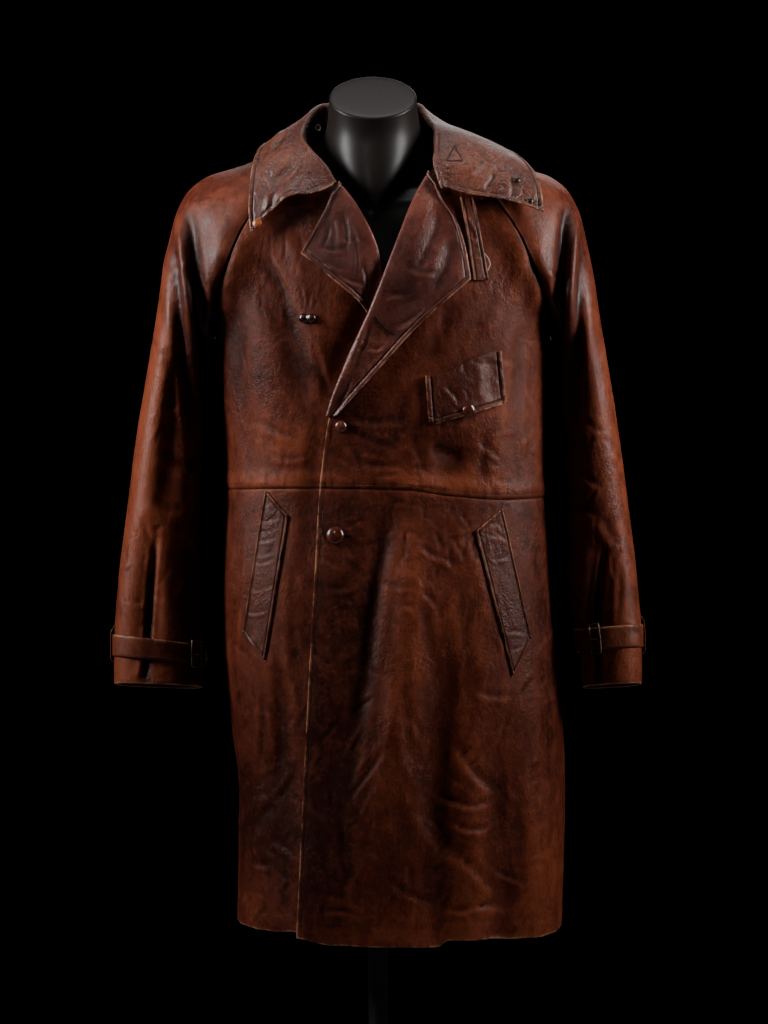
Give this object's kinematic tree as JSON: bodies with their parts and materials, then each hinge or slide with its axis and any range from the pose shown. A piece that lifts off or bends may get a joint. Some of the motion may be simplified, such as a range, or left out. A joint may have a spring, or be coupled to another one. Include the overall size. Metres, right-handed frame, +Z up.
{
  "type": "leather coat on dress form",
  "caption": "Knee-length brown leather aviator coat with raglan sleeves, wide collar, lapels and belted cuffs, worn by a black limbless dress form on a round-based stand.",
  "frame": {"origin": "centre of the stand base's underside, on the floor", "axes": "+Z up, the coat's front faces -Y, +X is towards the wearer's left"},
  "size_m": [0.7444, 0.4, 1.5555],
  "materials": {
    "leather": "semi-gloss, worn",
    "dark_leather": "semi-gloss",
    "button": "glossy",
    "orange_button": "glossy",
    "metal": "tarnished",
    "dark_metal": "tarnished",
    "form": "satin",
    "stand": "satin"
  },
  "bodies": {
    "root": {"back_upper": "leather", "back_skirt": "leather", "right_front_upper": "leather", "left_front_upper": "leather", "right_front_skirt": "leather", "left_front_skirt": "leather", "right_sleeve": "leather", "left_sleeve": "leather", "right_lapel": "leather", "left_lapel": "leather", "collar": "leather", "throat_strap": "leather", "breast_pocket_flap": "leather", "right_pocket_welt": "leather", "left_pocket_welt": "leather", "right_cuff_strap": "leather", "left_cuff_strap": "leather", "right_cuff_keeper": "leather", "left_cuff_keeper": "leather", "right_cuff_buckle": "metal", "left_cuff_buckle": "metal", "break_button": "button", "waist_button": "button", "breast_pocket_button": "button", "toggle_button": "dark_leather", "collar_button": "orange_button", "collar_stud_upper": "dark_metal", "collar_stud_lower": "dark_metal", "collar_eyelet": "metal", "dress_form": "form", "stand_pole": "stand", "stand_base": "stand"}
  },
  "joints": []
}
